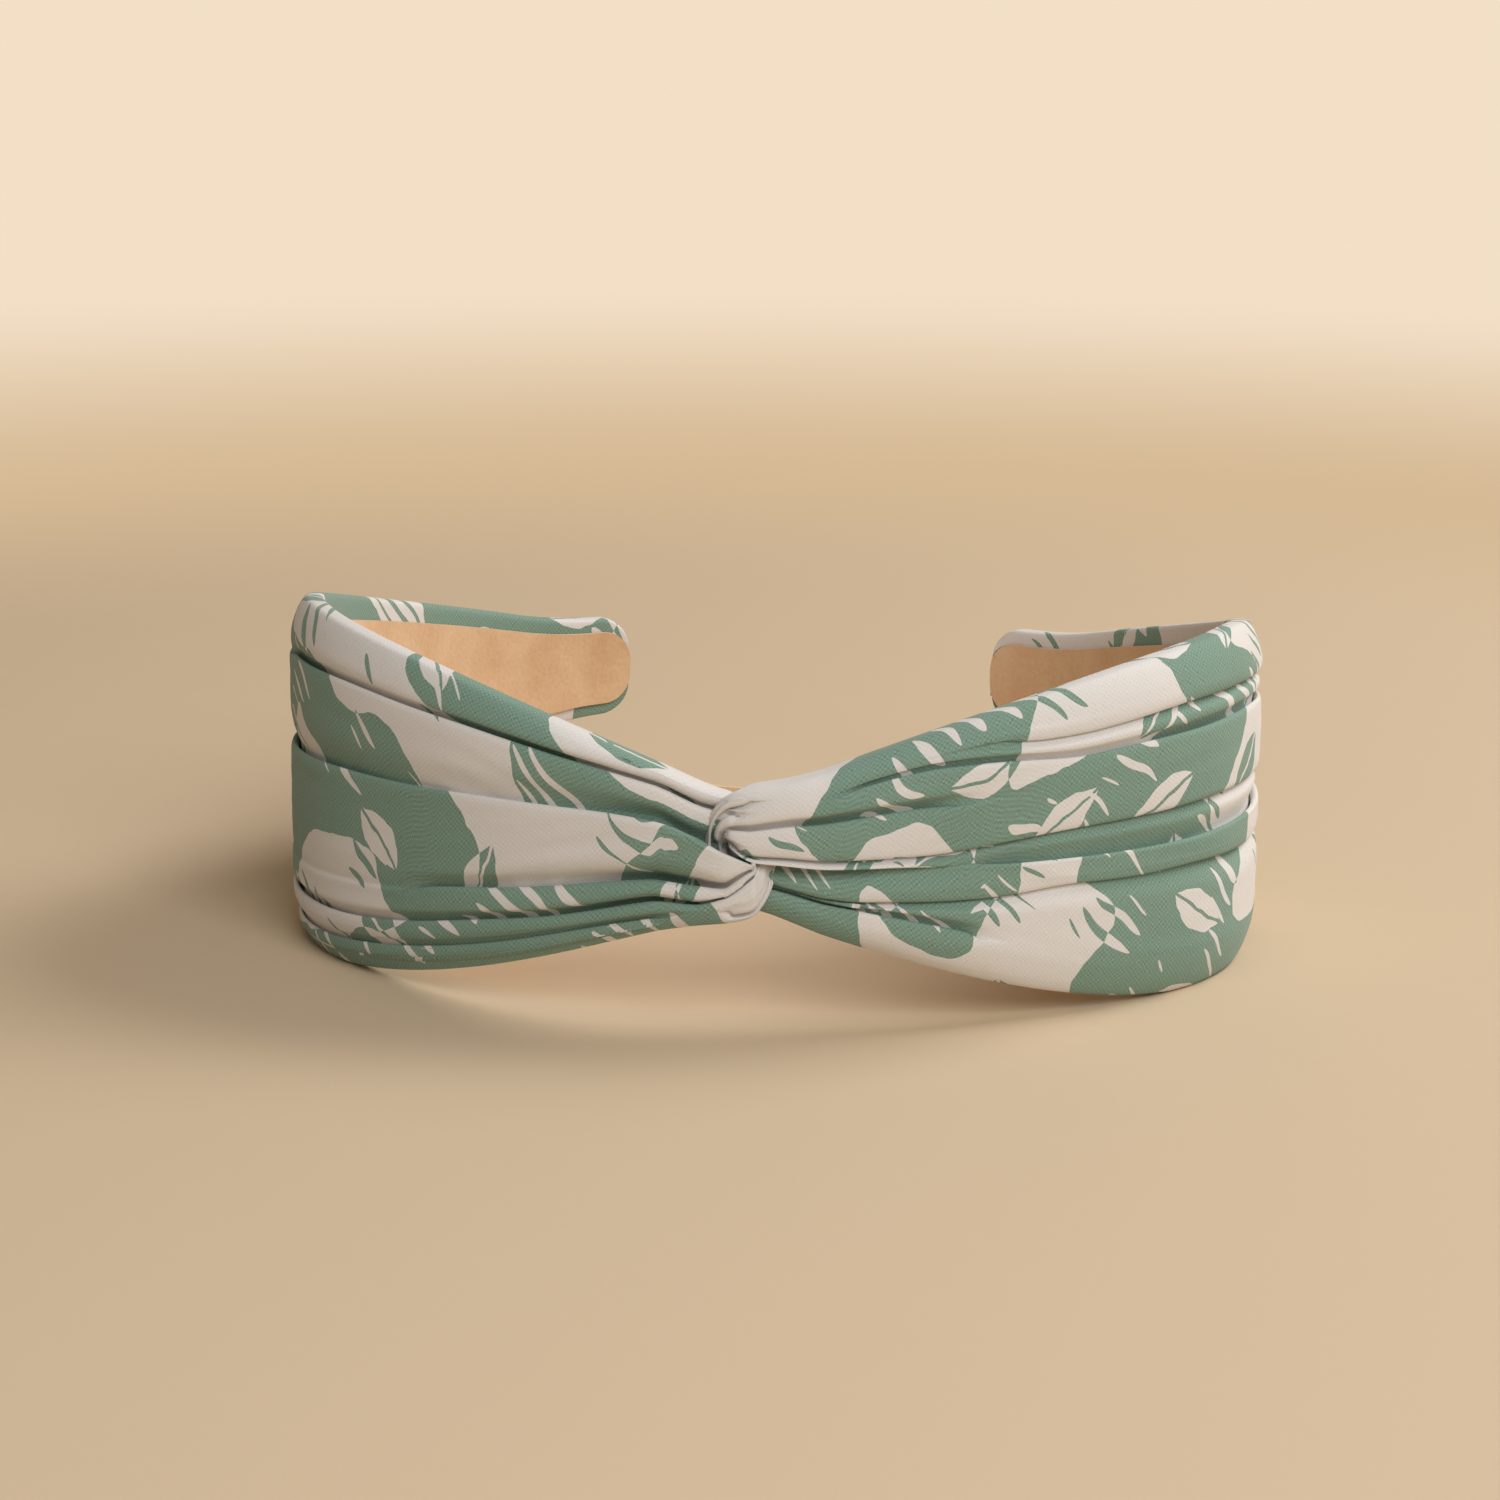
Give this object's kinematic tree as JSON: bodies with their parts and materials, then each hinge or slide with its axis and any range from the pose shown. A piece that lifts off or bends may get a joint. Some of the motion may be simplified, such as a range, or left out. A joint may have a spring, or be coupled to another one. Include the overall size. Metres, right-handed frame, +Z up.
{
  "type": "knotted headband",
  "caption": "Wide hard headband: springy core, suede-like lining and pleated printed cloth drawn into an interlocked twist at the crown; the arms spring apart to grip the head.",
  "frame": {"origin": "middle of the bounding box, on the surface that the band stands on", "axes": "+Z up with the band on its lower edge as pictured, -Y towards the twist at the crown, +Y towards the open tips, X across the band"},
  "size_m": [0.1484, 0.1294, 0.0525],
  "materials": {
    "printed_cloth": "two-tone sage green and off-white print on a fine plain weave",
    "suede_lining": "tan brushed suede-like cloth",
    "core_plastic": "milky moulded strip",
    "wadding": "thin white batting"
  },
  "bodies": {
    "crown": {"core_band": "core_plastic", "lining": "suede_lining", "left_loop": "printed_cloth", "right_loop": "printed_cloth"},
    "left_arm": {"left_cover": "printed_cloth", "left_wadding": "wadding"},
    "right_arm": {"right_cover": "printed_cloth", "right_wadding": "wadding"}
  },
  "joints": [
    {"name": "left_arm_spread", "type": "hinge", "parent": "crown", "child": "left_arm", "pos_m": [-0.01289, -0.06116, 0.02598], "axis": [0, 0, 1], "range_deg": [0, 8], "stiffness_Nm_per_rad": 0.9, "deforming": ["core_band", "lining"]},
    {"name": "right_arm_spread", "type": "hinge", "parent": "crown", "child": "right_arm", "pos_m": [0.01289, -0.06116, 0.02598], "axis": [0, 0, -1], "range_deg": [0, 8], "stiffness_Nm_per_rad": 0.9, "deforming": ["core_band", "lining"]}
  ]
}
